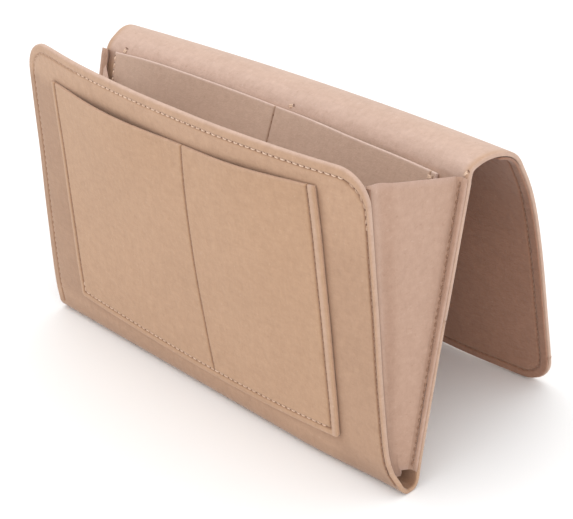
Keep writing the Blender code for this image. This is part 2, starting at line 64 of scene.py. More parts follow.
# the long sheet's profile: fold, front panel, back panel, turn, ridge and flap
FOLD_R, FOOT_CUT, FOLD_DRAW = 0.010, 0.0005, 0.0045
FRONT_LEN, FRONT_SLANT, FRONT_SAG, FRONT_BOW = 0.205, 0.004, 0.0025, 0.0104
CORNER_L, CORNER_R = 0.026, 0.020
BACK_LEN, BACK_BOW = 0.186, 0.014
BEND_R, SOFT_R, RUN, RIDGE_R = 0.003, 0.012, 0.007, 0.023
STIFF, CURL, FLARE, HOLLOW, FLAP_STEP = 0.010, 0.050, 0.0065, 0.0024, 0.001
FLAP_CORNER, LINING_TOP, LINING_END, LINING_RISE = 0.020, 0.008, 0.0012, 0.30
FRONT_LEAN, BACK_LEAN, RIDGE_LEAN, FLAP_TOP, FLAP_LEAN = (
    math.radians(v) for v in (0.4, 17.4, 72.0, 150.0, 174.5))
CENTRE_Z = FOLD_R - FOOT_CUT
# where the sheet's two meshes meet on the back panel, and where it bends with the flap
SPLIT_S = 0.100
# gussets: insets of the flanges, ends of the sides, the left side's fold and its lower end
WEB_INSET, BACK_INSET, BACK_INSET_FOOT, FILLET = 0.006, 0.0054, 0.0036, 0.0016
SIDE_LOW_F, SIDE_LOW_B, SIDE_TOP_F, SIDE_TOP_B = 0.0045, 0.005, 0.1905, 0.1835
VALLEY, DIP, LEFT_END = 0.016, 0.018, 0.0100
SIDE_STEPS = 44
FLANGE_SHARES = (0, 0.02, 0.05, 0.1, 0.25, 0.45, 0.62)
# front pocket
POCKET_L, POCKET_R, POCKET_LOW, POCKET_RISE = 0.126, 0.1262, 0.011, 0.006
POCKET_TOP, POCKET_SAG, POCKET_CORNER = 0.186, 0.005, 0.003
SPLIT, SPLIT_BOW, GAPE_L, GAPE_R = 0.0105, 0.006, 0.0028, 0.0014
TOP_SHARE_L, TOP_SHARE_R, TAPER = 0.93, 0.955, 1.5
# inner pocket, with its top edge as points
INNER_L, INNER_R, INNER_LOW, INNER_TOP = -0.152, 0.140, 0.022, 0.1825
INNER_TOP_X = (-0.152, -0.128, -0.103, -0.075, -0.050, -0.025, -0.002, 0.025, 0.048, 0.105, 0.140)
INNER_TOP_S = (0.1832, 0.1846, 0.1852, 0.1850, 0.1843, 0.1833, 0.1826, 0.1827, 0.1826, 0.1812, 0.1800)
INNER_SPLIT, INNER_GAPE = -0.002, 0.0036
# seams: distance from the edge, groove, and depth of the thread in it
EDGE_STITCH, EDGE_STITCH_R, FLAP_STITCH = 0.0062, 0.003, 0.006
POCKET_STITCH, POCKET_STITCH_L, POCKET_STITCH_R = 0.0050, 0.0038, 0.0068
GROOVE, GROOVE_W, INNER_GROOVE = 0.0009, 0.0007, 0.0008
IN_GROOVE, ON_FELT = -GROOVE * 0.8, -0.0001
# rounding of cut edges, how far in their painted highlight reaches, and distances from an edge for close
# points
ROUND, EDGE_FADE = 0.0010, 0.0009
INSETS = np.array([0, 0.10, 0.25, 0.45, 0.75, 1.5, 2.2, 2.6, 3.0, 3.4, 3.8, 4.4, 5.0, 5.4, 5.8, 6.2, 6.6,
                   7.0, 7.6, 9, 12, 15.5, 18.5, 22]) / 1000
POUCH_INSETS = INSETS[INSETS < 0.013]


def wave(x, s, seed, amp):
    """Slow unevenness of a felt sheet."""
    a = np.sin(31 * x + 17 * s + seed) * np.sin(23 * s - 11 * x + 2.1 * seed)
    b = np.sin(67 * x - 41 * s + 1.7 * seed) * np.sin(53 * s + 29 * x + 0.6 * seed)
    return amp * (0.7 * a + 0.3 * b)


def smooth(t):
    """Soft step from 0 to 1."""
    t = np.clip(t, 0.0, 1.0)
    return t * t * (3 - 2 * t)


def mix(a, b, t):
    return a + (b - a) * t


def side_half(foot, top, u, t):
    """Half width at share t up a panel, on the side that u is on."""
    return np.where(np.asarray(u) > 0, mix(foot[1], top[1], t), mix(foot[0], top[0], t))


def front_half(u, s):
    """Half width of the front panel at s above the fold."""
    s = np.maximum(s, 0)
    near = np.exp(-s / FOLD_BLEND)
    return side_half(FRONT_FOOT, MOUTH, u, s / FRONT_LEN) + side_half(FOLD_SHIFT, FOLD_SHIFT, u, 0) * near


def back_half(u, s):
    """Half width of the back panel at s above the fold."""
    return side_half(BACK_FOOT, BACK_TOP, u, np.maximum(s, 0) / BACK_LEN)


def front_top(u):
    """Height of the front panel's slanted, sagging top edge."""
    u = np.asarray(u)
    return FRONT_LEN - FRONT_SLANT * u - FRONT_SAG * (1 - u ** 2)


def place(x, r, s, n, d):
    """Points r out along n and s along d from the fold's centre line."""
    x, r, s = np.broadcast_arrays(x, r, s)
    return np.stack([x, r * n[0] + s * d[0], CENTRE_Z + r * n[1] + s * d[1]], -1)


def front_at(u, s, off=0.0):
    """Points on the front panel's outer face; u runs from -1 to 1 across."""
    u, s = np.asarray(u, float), np.asarray(s, float)
    n = (-math.cos(FRONT_LEAN), -math.sin(FRONT_LEAN))
    d = (-math.sin(FRONT_LEAN), math.cos(FRONT_LEAN))
    up = np.maximum(s, 0) / FRONT_LEN
    lift = FRONT_BOW * up ** 1.5 * (1 - u ** 2) + wave(u * MOUTH[0], s, 1.3, 0.0006) * smooth(up * 3)
    return place(u * front_half(u, s), FOLD_R + off + lift, s, n, d)


def back_at(u, s, off=0.0):
    """Points on the back panel's outer face; u runs from -1 to 1 across."""
    u, s = np.asarray(u, float), np.asarray(s, float)
    n = (math.cos(BACK_LEAN), -math.sin(BACK_LEAN))
    d = (math.sin(BACK_LEAN), math.cos(BACK_LEAN))
    up = np.maximum(s, 0) / BACK_LEN
    lift = BACK_BOW * up ** 1.5 * (1 - u ** 2) + wave(u * BACK_TOP[0], s, 4.2, 0.0004) * smooth(up * 3)
    return place(u * back_half(u, s), FOLD_R + off + lift, s, n, d)


def fold_at(u, a):
    """Points round the bottom fold at angle a, from the front foot to the back foot."""
    u, a = np.broadcast_arrays(np.asarray(u, float), np.asarray(a, float))
    start, end = math.pi + FRONT_LEAN, 2 * math.pi - BACK_LEAN
    half = mix(front_half(u, 0.0), back_half(u, 0.0), (a - start) / (end - start))
    z = CENTRE_Z + FOLD_R * np.sin(a)
    return np.stack([u * half, FOLD_R * np.cos(a), np.maximum(z, 0.0)], -1)


def settle(p):
    """The fold's right end draws in a little towards the back."""
    x, y, z = p[..., 0], p[..., 1], p[..., 2]
    w = smooth((x - 0.09) / 0.075) * np.exp(-(z / 0.013) ** 2) * np.clip(1 - (y + 0.01) / 0.024, 0, 1.1)
    out = p.copy()
    out[..., 1] += FOLD_DRAW * w
    return out


def bend_path():
    """Corner where the sheet turns back, ridge centre, start of the flap, and how far the turn reaches."""
    a0, a1, a2 = BACK_LEAN, RIDGE_LEAN, FLAP_TOP
    grip = BEND_R * math.tan((a1 - a0) / 2)
    s = BACK_LEN + grip
    k = (FOLD_R * math.cos(a0) + s * math.sin(a0), CENTRE_Z - FOLD_R * math.sin(a0) + s * math.cos(a0))
    p2 = (k[0] + (grip + RUN) * math.sin(a1), k[1] + (grip + RUN) * math.cos(a1))
    c2 = (p2[0] + RIDGE_R * math.cos(a1), p2[1] - RIDGE_R * math.sin(a1))
    p3 = (c2[0] - RIDGE_R * math.cos(a2), c2[1] + RIDGE_R * math.sin(a2))
    return k, c2, p3, grip


CORNER, C2, P3, GRIP = bend_path()
TURN_START = BACK_LEN + GRIP - SOFT_R * math.tan((RIDGE_LEAN - BACK_LEAN) / 2)


def flap_path():
    """Underside points of the hanging flap, one step apart, with their lean."""
    y, z, t, out = P3[0], P3[1], 0.0, []
    while True:
        a = FLAP_LEAN - (FLAP_LEAN - FLAP_TOP) * math.exp(-max(t - STIFF, 0.0) / CURL)
        out.append((y, z, a))
        if z <= 0.0:
            return np.array(out)
        y, z, t = y + FLAP_STEP * math.sin(a), z + FLAP_STEP * math.cos(a), t + FLAP_STEP


FLAP_PATH = flap_path()
FLAP_LEN = FLAP_STEP * (len(FLAP_PATH) - 2)


def turn_at(r, t, off):
    """y and z at share t of the turn from the back panel to the ridge, with bend radius r."""
    half = (RIDGE_LEAN - BACK_LEAN) / 2
    tangent = r * math.tan(half)
    l1 = BACK_LEN + GRIP - TURN_START - tangent
    l2, l3 = r * 2 * half, GRIP + RUN - tangent
    s = t * (l1 + l2 + l3)
    a = BACK_LEAN + np.clip((s - l1) / r, 0, 2 * half)
    before, after = np.minimum(s - l1, 0) - tangent, np.maximum(s - l1 - l2, 0) + tangent
    d0 = (math.sin(BACK_LEAN), math.cos(BACK_LEAN))
    d1 = (math.sin(RIDGE_LEAN), math.cos(RIDGE_LEAN))
    cy = CORNER[0] - tangent * d0[0] + r * math.cos(BACK_LEAN)
    cz = CORNER[1] - tangent * d0[1] - r * math.sin(BACK_LEAN)
    y, z = cy - r * np.cos(a), cz + r * np.sin(a)
    y = np.where(s < l1, CORNER[0] + before * d0[0], np.where(s > l1 + l2, CORNER[0] + after * d1[0], y))
    z = np.where(s < l1, CORNER[1] + before * d0[1], np.where(s > l1 + l2, CORNER[1] + after * d1[1], z))
    return y + off * np.cos(a), z - off * np.sin(a)


def over_at(kind, t, u, off=0.0):
    """Points on the sheet past the back panel; off is towards its underside."""
    t, u = np.broadcast_arrays(np.asarray(t, float), np.asarray(u, float))
    share, half = 1.0, RIDGE_HALF
    top = back_half(u, BACK_LEN) - np.where(u < 0, LEFT_DRAW, 0.0) * np.abs(u) ** 8
    if kind == "turn":
        sharp, soft = turn_at(BEND_R, t, off), turn_at(SOFT_R, t, off)
        w = smooth((0.985 - u) / 0.12)
        y, z = mix(sharp[0], soft[0], w), mix(sharp[1], soft[1], w)
        half = mix(top, RIDGE_HALF, smooth(RUN_WIDEN * np.maximum(2 * t - 1, 0)))
        share = mix((TURN_START / BACK_LEN) ** 1.5, 1.0, t)
    elif kind == "ridge":
        half = mix(top, RIDGE_HALF, smooth(RUN_WIDEN + (1 - RUN_WIDEN) * t / RIDGE_WIDEN))
        a = RIDGE_LEAN + (FLAP_TOP - RIDGE_LEAN) * t
        y, z = C2[0] - (RIDGE_R - off) * np.cos(a), C2[1] + (RIDGE_R - off) * np.sin(a)
    else:
        at = FLAP_STEP * np.arange(len(FLAP_PATH))
        y, z, a = (np.interp(t, at, FLAP_PATH[:, k]) for k in range(3))
        share = 1 - smooth(t / (0.45 * FLAP_LEN))
        w = wave(u * RIDGE_HALF, t, 7.7, 0.0005) * smooth(t / 0.03) - off
        y, z = y - w * np.cos(a), z + w * np.sin(a)
    lift = BACK_BOW * (1 - u ** 2) * share
    if kind == "flap":
        # the middle stands in, so that the free corners flare out
        lift = lift - FLARE * smooth((1 - np.abs(u)) / 0.45) * smooth(t / (0.9 * FLAP_LEN))
        lift = lift - HOLLOW * np.sin(math.pi * np.clip(t / 0.16, 0, 1))
    x = u * half
    x, y, z, lift = np.broadcast_arrays(x, y, z, lift)
    return np.stack([x, y + lift * math.cos(BACK_LEAN), z - lift * math.sin(BACK_LEAN)], -1)


# materials

def lin(r, g, b):
    """Linear value of a display colour."""
    out = []
    for v in (r, g, b):
        v /= 255.0
        out.append(v / 12.92 if v <= 0.04045 else ((v + 0.055) / 1.055) ** 2.4)
    return (*out, 1.0)


# tints of the shade attribute: painted shade for seam grooves and shaded places, painted light for cut
# edges and the ridge
PAINTED_SHADE_TINT = (0.50, 0.41, 0.35, 1.0)
PAINTED_LIGHT_TINT = (1.16, 1.32, 1.67, 1.0)
HAIR_TINT = (0.92, 0.89, 0.87, 1.0)
NAP_COLOUR = (0.80, 0.66, 0.55, 1.0)
# noise scale, stretch and turn of the three sets of fibres, and of the loose hairs
FIBRES = ((300, (1.0, 0.42, 0.9), (0.9, 0.5, 0.7)), (340, (0.40, 1.0, 1.1), (0.6, 0.8, 1.9)),
          (320, (1.1, 0.9, 0.38), (0.7, 1.1, 0.4)))
HAIRS = (620, (1.0, 0.45, 0.8), (0.3, 0.7, 0.1))


def new_material(name, settings):
    """A material and its surface shader."""
    ma = bpy.data.materials.new(name)
    ma.use_nodes = True
    bsdf = next(n for n in ma.node_tree.nodes if n.type == "BSDF_PRINCIPLED")
    for key, value in settings.items():
        bsdf.inputs[key].default_value = value
    return ma, bsdf


def ramp_colour(tree, source, low, dark, high, light):
    """Colour that runs from dark at low to light at high."""
    ramp = tree.nodes.new("ShaderNodeValToRGB")
    first, last = ramp.color_ramp.elements
    first.position, first.color = low, dark
    last.position, last.color = high, light
    tree.links.new(source, ramp.inputs["Fac"])
    return ramp.outputs["Color"]


def noise(tree, scale, detail, rough=0.5, stretch=None, turn=None):
    """Noise in the object's own space."""
    source = tree.nodes.new("ShaderNodeTexCoord").outputs["Object"]
    if stretch:
        mapping = tree.nodes.new("ShaderNodeMapping")
        mapping.inputs["Scale"].default_value = stretch
        mapping.inputs["Rotation"].default_value = turn
        tree.links.new(source, mapping.inputs["Vector"])
        source = mapping.outputs["Vector"]
    tex = tree.nodes.new("ShaderNodeTexNoise")
    tex.inputs["Scale"].default_value = scale
    tex.inputs["Detail"].default_value = detail
    tex.inputs["Roughness"].default_value = rough
    tree.links.new(source, tex.inputs["Vector"])
    return tex.outputs["Fac"]


def felt_material(name, light, dark, bump=0.32):
    """Pressed felt: mottled colour, short crossed fibres and a fine nap."""
    ma, bsdf = new_material(name, {
        "Roughness": 0.96, "Specular IOR Level": 0.12, "Sheen Weight": 0.30, "Sheen Roughness": 0.6,
        "Sheen Tint": (1.0, 0.95, 0.92, 1.0)})
    tree = ma.node_tree
    nodes, links = tree.nodes, tree.links

    def math_node(op, a, b):
        m = nodes.new("ShaderNodeMath")
        m.operation = op
        for i, v in enumerate((a, b)):
            if isinstance(v, (int, float)):
                m.inputs[i].default_value = v
            else:
                links.new(v, m.inputs[i])
        return m.outputs[0]

    def weighted(*parts):
        total = None
        for source, weight in parts:
            part = math_node("MULTIPLY", source, weight)
            total = part if total is None else math_node("ADD", total, part)
        return total

    def ranged(source, start, end, most=1.0):
        node = nodes.new("ShaderNodeMapRange")
        node.inputs["From Min"].default_value = start
        node.inputs["From Max"].default_value = end
        node.inputs["To Max"].default_value = most
        links.new(source, node.inputs["Value"])
        return node.outputs["Result"]

    def tinted(kind, factor, colour, tint):
        node = nodes.new("ShaderNodeMix")
        node.data_type, node.blend_type = "RGBA", kind
        links.new(factor, node.inputs["Factor"])
        links.new(colour, node.inputs["A"])
        node.inputs["B"].default_value = tint
        return node.outputs["Result"]

    sets = [noise(tree, scale, 4, 0.7, stretch, turn) for scale, stretch, turn in FIBRES]
    fibre = math_node("ADD", math_node("ADD", sets[0], sets[1]), sets[2])
    fine, slow, mid = noise(tree, 1300, 3, 0.75), noise(tree, 16, 3, 0.55), noise(tree, 120, 3, 0.65)
    total = weighted((fibre, 0.26), (fine, 0.22), (slow, 0.20), (mid, 0.20))
    colour = ramp_colour(tree, total, 0.44, dark, 0.92, light)
    # scattered darker hairs and pale nap specks
    speck = noise(tree, HAIRS[0], 1, 0.5, *HAIRS[1:])
    colour = tinted("MULTIPLY", ranged(speck, 0.30, 0.24), colour, HAIR_TINT)
    colour = tinted("MIX", ranged(speck, 0.70, 0.78, 0.10), colour, NAP_COLOUR)
    # the mesh keeps a shade: above 0 painted shade in the seam grooves and shaded places, below 0 painted
    # highlight on the cut edges and the ridge
    shade = nodes.new("ShaderNodeAttribute")
    shade.attribute_name = "shade"
    for sign, tint in ((1.0, PAINTED_SHADE_TINT), (-1.0, PAINTED_LIGHT_TINT)):
        clamp = nodes.new("ShaderNodeClamp")
        links.new(math_node("MULTIPLY", shade.outputs["Fac"], sign), clamp.inputs["Value"])
        colour = tinted("MULTIPLY", clamp.outputs["Result"], colour, tint)
    links.new(colour, bsdf.inputs["Base Color"])
    relief = nodes.new("ShaderNodeBump")
    relief.inputs["Strength"].default_value = bump
    relief.inputs["Distance"].default_value = 0.0012
    links.new(weighted((fibre, 0.6), (mid, 0.5), (fine, 0.35)), relief.inputs["Height"])
    links.new(relief.outputs["Normal"], bsdf.inputs["Normal"])
    return ma


def thread_material(name, light, dark):
    ma, bsdf = new_material(name, {"Roughness": 0.75, "Sheen Weight": 0.2})
    tree = ma.node_tree
    colour = ramp_colour(tree, noise(tree, 1800, 2), 0.35, dark, 0.65, light)
    tree.links.new(colour, bsdf.inputs["Base Color"])
    return ma


MAIN = felt_material("main_felt", lin(197, 160, 131), lin(167, 131, 104))
SIDE = felt_material("side_felt", lin(195, 161, 141), lin(169, 135, 115))
POCKET = felt_material("pocket_felt", lin(193, 155, 124), lin(165, 128, 98))
# a lighter copy of the felt: painted light against the shade inside the bag
INNER_LIT_FELT = felt_material("inner_felt", lin(211, 182, 162), lin(185, 155, 136))
# a darker copy of the felt: painted shade inside the hanging flap
LINING_SHADED_FELT = felt_material("lining_felt", lin(174, 129, 104), lin(139, 98, 76), 0.6)
THREAD = thread_material("thread", lin(240, 214, 191), lin(206, 172, 146))
MID_THREAD = thread_material("thread_plain", lin(206, 172, 146), lin(172, 138, 114))
# a darker copy of the thread: painted shade for stitches sunk in seam grooves
SHADED_THREAD = thread_material("thread_shaded", lin(168, 131, 106), lin(128, 94, 73))
# dark caps that paint the shade of needle holes
HOLE_SHADE = thread_material("needle_hole", lin(146, 111, 89), lin(112, 81, 63))


# mesh building

def mesh_object(name, verts, faces, material, body=None):
    me = bpy.data.meshes.new(name)
    me.from_pydata([tuple(v) for v in verts], [], faces)
    me.validate()
    me.update()
    me.polygons.foreach_set("use_smooth", [True] * len(me.polygons))
    me.materials.append(material)
    ob = bpy.data.objects.new(name, me)
    bpy.context.scene.collection.objects.link(ob)
    if body:
        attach(ob, body)
    return ob


def normals(p):
    """Unit normals of a grid of points."""
    dr = np.gradient(p, axis=0)
    dc = np.gradient(p, axis=1)
    n = np.cross(dc, dr)
    return n / np.maximum(np.linalg.norm(n, axis=-1, keepdims=True), 1e-12)


def mark_rim(ob, loop, size):
    """Makes the rim's edges hard, so that two sheets meet without a mark."""
    place_in = np.full(size, -1)
    place_in[loop] = np.arange(len(loop))
    ends = np.empty(2 * len(ob.data.edges), int)
    ob.data.edges.foreach_get("vertices", ends)
    ends = ends.reshape(-1, 2)
    at, face = place_in[ends % size], ends // size
    step = np.abs(at[:, 0] - at[:, 1])
    hard = (at >= 0).all(1) & (face[:, 0] == face[:, 1]) & ((step == 1) | (step == len(loop) - 1))
    ob.data.edges.foreach_set("use_edge_sharp", hard)


def shell(name, grid, thick, toward, material, body=None, *, edge, press=None, row=None,
          shade=(1.0, 0.0), edge_highlight=0.7):
    """A closed felt piece on a grid of points, thickened away from toward.

    press is how far the outer face is pushed in, edge the distance to the cut edge;
    shade scales the painted shade in the seam grooves and adds painted shade (above 0) or painted light
    (below 0) of its own; the cut edge gets a painted highlight of the given strength.
    """
    n = normals(grid)
    centre = n[n.shape[0] // 2 if row is None else row, n.shape[1] // 2]
    flip = np.dot(centre, toward) < 0
    if flip:
        n = -n
    press = np.zeros(grid.shape[:2]) if press is None else press
    r = min(ROUND, thick * 0.4)
    e = np.clip(edge, 0, r)
    drop = r - np.sqrt(np.maximum(r * r - (r - e) ** 2, 0))
    top = grid + n * (-press - drop)[..., None]
    low = grid + n * (drop - thick)[..., None]
    rows, cols = grid.shape[:2]
    size = rows * cols
    verts = np.concatenate([top.reshape(-1, 3), low.reshape(-1, 3)])
    idx = np.arange(size).reshape(rows, cols)
    # the normal is cross(column, row), so this order faces along it
    quad = np.stack([idx[:-1, :-1], idx[:-1, 1:], idx[1:, 1:], idx[1:, :-1]], -1).reshape(-1, 4)
    if flip:
        quad = quad[:, ::-1]
    under = quad[:, ::-1] + size
    loop = [int(v) for v in (*idx[0, :], *idx[1:, -1], *idx[-1, -2::-1], *idx[-2:0:-1, 0])]
    rim = [(w, v, v + size, w + size) for v, w in zip(loop, loop[1:] + loop[:1])]
    if flip:
        rim = [q[::-1] for q in rim]
    ob = mesh_object(name, verts, quad.tolist() + under.tolist() + rim, material, body)
    mark_rim(ob, loop, size)
    tone = np.zeros((2,) + grid.shape[:2])
    # painted shade in the seam grooves, and a painted highlight on the cut edges
    tone[0] = np.clip(press / GROOVE, 0, 1)
    tone = tone * shade[0] + shade[1]
    tone -= edge_highlight * np.exp(-(np.maximum(edge, 0) / EDGE_FADE) ** 2)
    ob.data.attributes.new("shade", "FLOAT", "POINT").data.foreach_set("value", tone.ravel())
    return ob


def line(left, right, step=0.008, inset=INSETS):
    """Across positions from -left to right, close together near the edges."""
    last = inset[-1]
    count = max(2, int(round((left + right - 2 * last) / step)))
    middle = np.linspace(-left + last, right - last, count + 1)[1:-1]
    return np.concatenate([-left + inset, middle, right - inset[::-1]])


def drop_at(x, left, right, corner_l, corner_r):
    """How far a rounded corner takes the end back at x."""
    corner = np.where(x < 0, corner_l, corner_r)
    e = np.clip(np.where(x < 0, left + x, right - x), 0, corner)
    return corner - np.sqrt(np.maximum(corner ** 2 - (corner - e) ** 2, 0))


def outline(x, s, left, right, top, corner_l, corner_r):
    """Distance inside a rounded outline with its far end at top, open at the near end."""
    corner = np.where(x < 0, corner_l, corner_r)
    ex, es = np.where(x < 0, left + x, right - x), top - s
    cx, cs = corner - ex, corner - es
    round_part = corner - np.hypot(np.maximum(cx, 0), np.maximum(cs, 0))
    return np.where((cx > 0) & (cs > 0), round_part, np.minimum(ex, es))


def groove(dist, depth=GROOVE):
    """How far a seam presses the felt in, at dist from it."""
    return depth * np.exp(-(dist / GROOVE_W) ** 2)


SIDES = 6
CIRCLE = [(math.cos(2 * math.pi * k / SIDES), math.sin(2 * math.pi * k / SIDES)) for k in range(SIDES)]
# share along a stitch and width of each ring; a rise of None is the stitch's own lift
CAPSULE = ((-0.03, -1.9, 0.55), (0.06, -0.5, 0.9), (0.3, None, 1.0), (0.7, None, 1.0), (0.94, -0.5, 0.9),
           (1.03, -1.9, 0.55))
# rise and radius of each ring of a needle hole's dark cap of painted shade
PIT = ((-0.0006, 0.00030), (0.00012, 0.00042), (0.00024, 0.00026))


def add_tube(verts, faces, rings):
    """Adds a closed tube through rings of points."""
    base = len(verts)
    for ring in rings:
        verts.extend(ring)
    end = base + SIDES * (len(rings) - 1)
    for first in range(base, end, SIDES):
        for k in range(SIDES):
            m = (k + 1) % SIDES
            faces.append((first + k, first + m, first + SIDES + m, first + SIDES + k))
    faces.append(tuple(base + k for k in range(SIDES - 1, -1, -1)))
    faces.append(tuple(end + k for k in range(SIDES)))


def capsule_rings(p, q, n, radius, lift):
    """Rings of one stitch from p to q that dives into the felt at both ends."""
    along = q - p
    length = np.linalg.norm(along)
    along = along / length
    side = np.cross(n, along)
    side /= np.linalg.norm(side)
    rings = []
    for t, rise, r in CAPSULE:
        c = p + along * (length * t) + n * (radius * (lift if rise is None else rise))
        rings.append([c + (side * x * 1.15 + n * y) * radius * r for x, y in CIRCLE])
    return rings


def pit_row(name, pits, body, nodes, size=1.0):
    """Painted shade of needle holes: low dark caps set in the felt."""
    verts, faces = [], []
    for c, n, side in pits:
        other = np.cross(n, side)
        add_tube(verts, faces, [[c + n * rise + (side * x + other * y) * r * size for x, y in CIRCLE]
                                for rise, r in PIT])
    ob = mesh_object(name, verts, faces, HOLE_SHADE, body)
    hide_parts(*nodes)


def stitch_row(name, pts, nrm, material, body, nodes, pitch=0.0044, length=0.0034, radius=0.00038,
               lift=0.25, holes=0.0):
    """Separate stitches along a path lying on the felt, with dark caps of painted shade for needle holes
    between them.
    """
    at = np.concatenate([[0], np.cumsum(np.linalg.norm(np.diff(pts, axis=0), axis=1))])
    verts, faces, pits = [], [], []

    def get(s):
        p = np.array([np.interp(s, at, pts[:, k]) for k in range(3)])
        n = np.array([np.interp(s, at, nrm[:, k]) for k in range(3)])
        return p, n / np.linalg.norm(n)

    s = 0.0
    while s + length < at[-1]:
        wob = RNG.normal(0, 0.00009, 3)
        p, n = get(s + RNG.normal(0, 0.0001))
        q, _ = get(s + length + RNG.normal(0, 0.00012))
        tilt = np.cross(n, q - p) * 0.06
        width = radius * RNG.uniform(0.92, 1.08)
        add_tube(verts, faces, capsule_rings(p + wob + tilt, q - wob - tilt, n, width, lift))
        if holes:
            c, n = get(s + length + 0.5 * (pitch - length))
            side = np.cross(n, q - p)
            pits.append((c, n, side / np.linalg.norm(side)))
        s += pitch
    if pits:
        pit_row(name + "_holes", pits, body, nodes, holes)
    ob = mesh_object(name, verts, faces, material, body)
    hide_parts(*nodes)


def surface_path(at, u, s, off):
    """Points and outward normals along a path on a surface function at(u, s, off)."""
    u, s = np.broadcast_arrays(np.asarray(u, float), np.asarray(s, float))
    p = at(u, s, off)
    du = at(u + 1e-3, s, off) - at(u - 1e-3, s, off)
    ds = at(u, s + 1e-4, off) - at(u, s - 1e-4, off)
    n = np.cross(du, ds)
    n /= np.linalg.norm(n, axis=-1, keepdims=True)
    outward = at(u, s, off + 1e-4) - p
    n *= np.sign((n * outward).sum(-1))[:, None]
    return p, n


def round_path(left, right, low, top, corner_l, corner_r, step=0.002):
    """x, s pairs up one side, across the top and down the other, corners rounded."""
    pts = []
    for v in np.arange(low, top - corner_l, step):
        pts.append((-left, v))
    quarter = [math.pi / 2 * k / 10 for k in range(11)]
    for a in quarter:
        pts.append((-left + corner_l * (1 - math.cos(a)), top - corner_l * (1 - math.sin(a))))
    for v in np.arange(-left + corner_l + step, right - corner_r - step / 2, step):
        pts.append((v, top))
    for a in quarter[::-1]:
        pts.append((right - corner_r * (1 - math.cos(a)), top - corner_r * (1 - math.sin(a))))
    for v in np.arange(top - corner_r - step, low, -step):
        pts.append((right, v))
    return np.array(pts)


# the long felt sheet, front part

def build_front_sheet():
    left, right = MOUTH
    # closer points where the pocket's right edge throws its shade
    xs = np.array(sorted(set(line(left, right)) | set(np.arange(0.1165, 0.1275, 0.0007))))
    u = np.where(xs > 0, xs / right, xs / left)
    top = front_top(u) - drop_at(xs, left, right, CORNER_L, CORNER_R)
    depth = np.concatenate([INSETS, np.linspace(0.022, FRONT_LEN, 26)[1:]])
    inner = (left - EDGE_STITCH, right - EDGE_STITCH_R, FRONT_LEN - EDGE_STITCH,
             CORNER_L - EDGE_STITCH, CORNER_R - EDGE_STITCH_R)
    rows, dist, edge, beside = [], [], [], []
    for d in depth:
        s = top * (1 - d / FRONT_LEN)
        flat = s + FRONT_LEN - front_top(u)
        rows.append(front_at(u, s))
        dist.append(np.abs(outline(xs, flat, *inner)))
        edge.append(outline(xs, flat, left, right, FRONT_LEN, CORNER_L, CORNER_R))
        beside.append(pocket_shadow(u * front_half(u, s), s))
    for a in np.linspace(math.pi + FRONT_LEAN, 2 * math.pi - BACK_LEAN, 20)[1:-1]:
        rows.append(fold_at(u, a))
    for s in np.linspace(0, SPLIT_S, 12):
        rows.append(back_at(u, s))
    while len(dist) < len(rows):
        dist.append(np.ones(u.shape))
        edge.append(np.where(xs > 0, right - xs, left + xs))
        beside.append(np.zeros(u.shape))
    grid, dist = settle(np.array(rows)), np.array(dist)
    # painted shade in the seam grooves, weaker on the left
    weak = np.where(xs < 0, 0.45, 1.0)[None, :] + 0 * dist
    # painted shade: the pocket's contact shadow, shade under the fold at the foot, and shade along the
    # right side
    low = np.array(beside) + 0.58 * np.exp(-(np.maximum(grid[..., 2], 0) / 0.016) ** 2)
    low += 0.22 * smooth((grid[..., 0] - 0.118) / 0.014) * smooth((0.195 - grid[..., 2]) / 0.05)
    ob = shell("main_sheet_front", grid, FELT, (0, -1, 0), MAIN, edge=np.array(edge), press=groove(dist),
               shade=(weak, low))
    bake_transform(ob)
    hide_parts("front_panel", "bottom_fold")
    stitch_front(*inner)


def stitch_front(left, right, top, corner_l, corner_r):
    path = round_path(left, right, 0.006, top, corner_l, corner_r)
    u = np.where(path[:, 0] > 0, path[:, 0] / MOUTH[1], path[:, 0] / MOUTH[0])
    p, n = surface_path(front_at, u, path[:, 1] - FRONT_LEN + front_top(u), IN_GROOVE)
    first = int(np.argmax(path[:, 0] > -0.085))
    turn = int(np.argmax(path[:, 0] > right - 0.6 * corner_r))
    last = turn + 14
    seam = ("front_edge_seam",)
    stitch_row("front_left_stitches", p[:first], n[:first], MID_THREAD, "front", seam, lift=0.1)
    stitch_row("front_edge_stitches", p[first:turn], n[first:turn], THREAD, "front", seam,
               radius=0.00044, length=0.0033, lift=0.5, holes=0.8)
    stitch_row("front_corner_stitches", p[turn:last], n[turn:last], MID_THREAD, "front", seam,
               lift=0.3, holes=0.8)
    stitch_row("front_side_stitches", p[last:], n[last:], SHADED_THREAD, "front", seam, lift=0.0)


# back part, flap and lining

